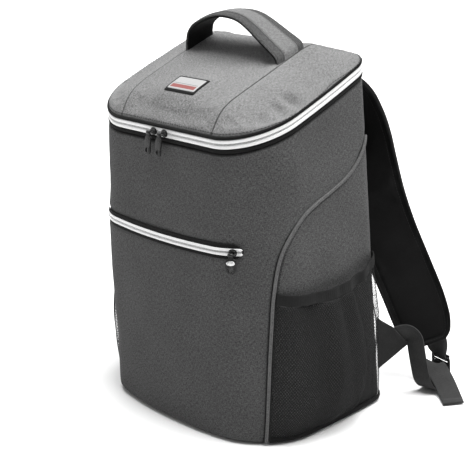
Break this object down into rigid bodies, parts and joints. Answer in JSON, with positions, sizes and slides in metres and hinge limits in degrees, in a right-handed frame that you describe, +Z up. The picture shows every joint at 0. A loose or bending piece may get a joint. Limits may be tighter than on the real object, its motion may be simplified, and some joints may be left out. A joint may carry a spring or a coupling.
{
  "type": "cooler backpack",
  "caption": "Soft-sided box backpack with a sloping zipped lid, front zip pocket, net side pockets, top handle and padded shoulder straps.",
  "frame": {"origin": "middle of the base, on the surface that the bag stands on", "axes": "+Z up, -Y the front with the pocket zip, +Y the back with the shoulder straps, +X the side that is on the right in the picture"},
  "size_m": [0.4736, 0.3118, 0.4652],
  "materials": {
    "grey_cloth": "melange grey woven polyester",
    "lid_cloth": "the same melange cloth, lighter where it faces up",
    "black_cloth": "black woven polyester over foam",
    "dark_tape": "dark grosgrain binding and elastic",
    "net": "dark stretch net",
    "silver_tape": "bright silver-white coated tape",
    "zip_coil": "light grey nylon coil",
    "black_metal": "gloss black",
    "bright_metal": "polished",
    "black_plastic": "satin black moulding",
    "label_face": "pale printed panel, blank",
    "webbing": "ribbed nylon webbing"
  },
  "bodies": {
    "bag": {"front_panel": "grey_cloth", "side_panel_right": "grey_cloth", "side_panel_left": "grey_cloth", "back_panel": "black_cloth", "base_panel": "grey_cloth", "side_piping_right": "grey_cloth", "side_piping_left": "grey_cloth", "body_binding": "dark_tape", "lid_zip_lower_trim": "silver_tape", "lid_zip_coil": "zip_coil", "lid_zip_upper_trim": "silver_tape", "lid_binding": "dark_tape", "lid_hinge": "grey_cloth", "lid_centre_panel": "lid_cloth", "lid_side_panel_right": "lid_cloth", "lid_side_panel_left": "lid_cloth", "label_patch": "black_plastic", "label_face": "label_face", "handle_band": "grey_cloth", "handle_lining": "black_cloth", "handle_centre_tape": "lid_cloth", "pocket_zip_tape": "dark_tape", "pocket_zip_coil": "zip_coil", "pocket_zip_upper_trim": "silver_tape", "pocket_zip_lower_trim": "silver_tape", "lid_slider_left": "black_metal", "lid_slider_right": "black_metal", "pocket_slider": "black_metal", "pocket_net_right": "net", "pocket_net_left": "net", "pocket_elastic_right": "dark_tape", "pocket_elastic_left": "dark_tape", "pocket_hem_right": "dark_tape", "pocket_hem_left": "dark_tape", "strap_pad_right": "black_cloth", "strap_pad_left": "black_cloth", "strap_webbing_right": "webbing", "strap_webbing_left": "webbing", "strap_lock_right": "black_plastic", "strap_lock_left": "black_plastic", "strap_tab_right": "black_cloth", "strap_tab_left": "black_cloth", "strap_adjuster_right": "webbing", "strap_adjuster_left": "webbing"},
    "left_lid_pull": {"lid_pull_left": "black_metal"},
    "right_lid_pull": {"lid_pull_right": "black_metal"},
    "front_pocket_pull": {"pocket_pull": "black_metal", "pocket_pull_badge": "bright_metal"}
  },
  "joints": [
    {"name": "left_lid_pull_swing", "type": "hinge", "parent": "bag", "child": "left_lid_pull", "pos_m": [-0.0175, -0.1007, 0.347], "axis": [-1, 0, 0], "range_deg": [-15, 160]},
    {"name": "right_lid_pull_swing", "type": "hinge", "parent": "bag", "child": "right_lid_pull", "pos_m": [0.0015, -0.1007, 0.347], "axis": [-1, 0, 0], "range_deg": [-15, 160]},
    {"name": "pocket_pull_swing", "type": "hinge", "parent": "bag", "child": "front_pocket_pull", "pos_m": [0.11653, -0.1058, 0.231], "axis": [-0.8537, -0.5208, 0], "range_deg": [-12, 160]}
  ]
}
